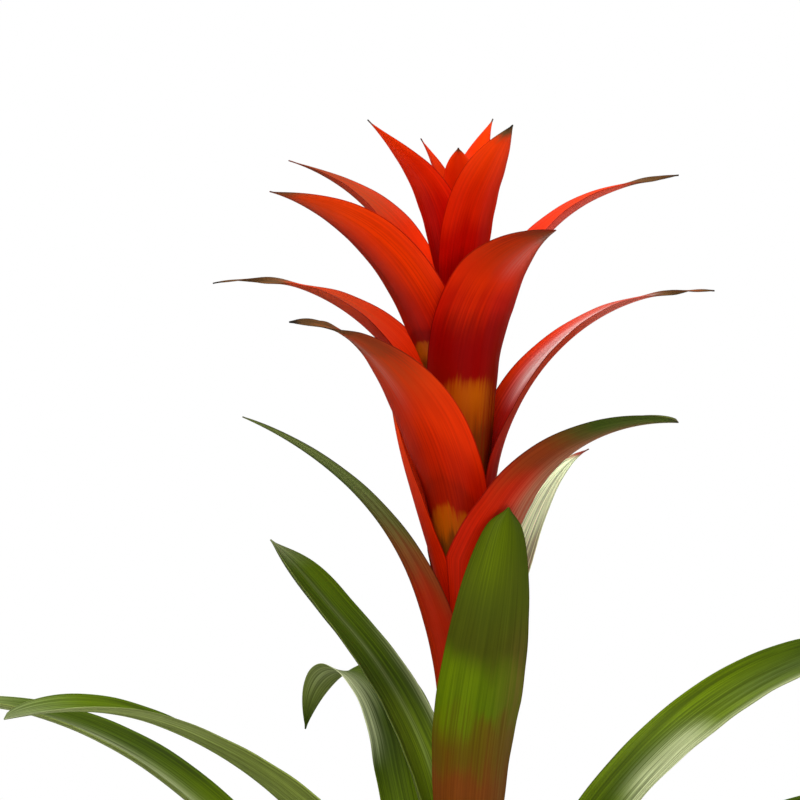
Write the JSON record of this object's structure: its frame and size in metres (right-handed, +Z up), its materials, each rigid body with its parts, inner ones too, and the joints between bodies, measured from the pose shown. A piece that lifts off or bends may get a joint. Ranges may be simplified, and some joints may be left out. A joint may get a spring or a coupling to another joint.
{
  "type": "guzmania plant",
  "caption": "Bromeliad in flower: a rosette of arching strap leaves round a crown, with an upright spike of red bracts, standing on its flat cut base.",
  "frame": {"origin": "middle of the flat cut base of the crown, on the surface the plant stands on", "axes": "+Z up along the stem; -Y is the side that the bracts of the spike show best; +X to the right seen from there"},
  "size_m": [0.6028, 0.5593, 0.4787],
  "materials": {
    "stem": "matt fibrous stem and crown",
    "bract_red": "waxy satin, flame red with a golden foot and dark tip",
    "bract_green_tipped": "waxy satin, red foot turning olive green",
    "bract_pale": "matt pale green with fine lengthwise lines",
    "bract_green": "satin mid green, brown at the foot",
    "leaf": "satin green with fine lengthwise lines"
  },
  "bodies": {
    "root": {"stem": "stem", "bract_top_centre": "bract_red", "bract_top_back_right": "bract_red", "bract_top_left": "bract_red", "bract_top_back": "bract_red", "bract_top_front_left": "bract_red", "bract_top_front": "bract_red", "bract_upper_back_left": "bract_red", "bract_upper_right": "bract_red", "bract_upper_front_left": "bract_red", "bract_upper_back": "bract_red", "bract_middle_left": "bract_red", "bract_middle_front": "bract_red", "bract_middle_back": "bract_red", "bract_middle_right": "bract_red", "bract_lower_front_left": "bract_red", "bract_lower_left": "bract_red", "bract_lower_back": "bract_green_tipped", "bract_lower_right": "bract_green_tipped", "bract_lowest_left": "bract_green_tipped", "bract_pale_back": "bract_pale", "bract_green_front": "bract_green", "leaf_upper_left": "leaf", "leaf_curled_back": "leaf", "leaf_right": "leaf", "leaf_back": "leaf", "leaf_front_left": "leaf", "leaf_front_right": "leaf", "leaf_left": "leaf", "leaf_front": "leaf", "leaf_lower_back_left": "leaf", "leaf_lower_right": "leaf", "leaf_lower_front_left": "leaf", "leaf_lower_back": "leaf", "leaf_low_left": "leaf", "leaf_low_front_right": "leaf", "leaf_low_back": "leaf"}
  },
  "joints": []
}
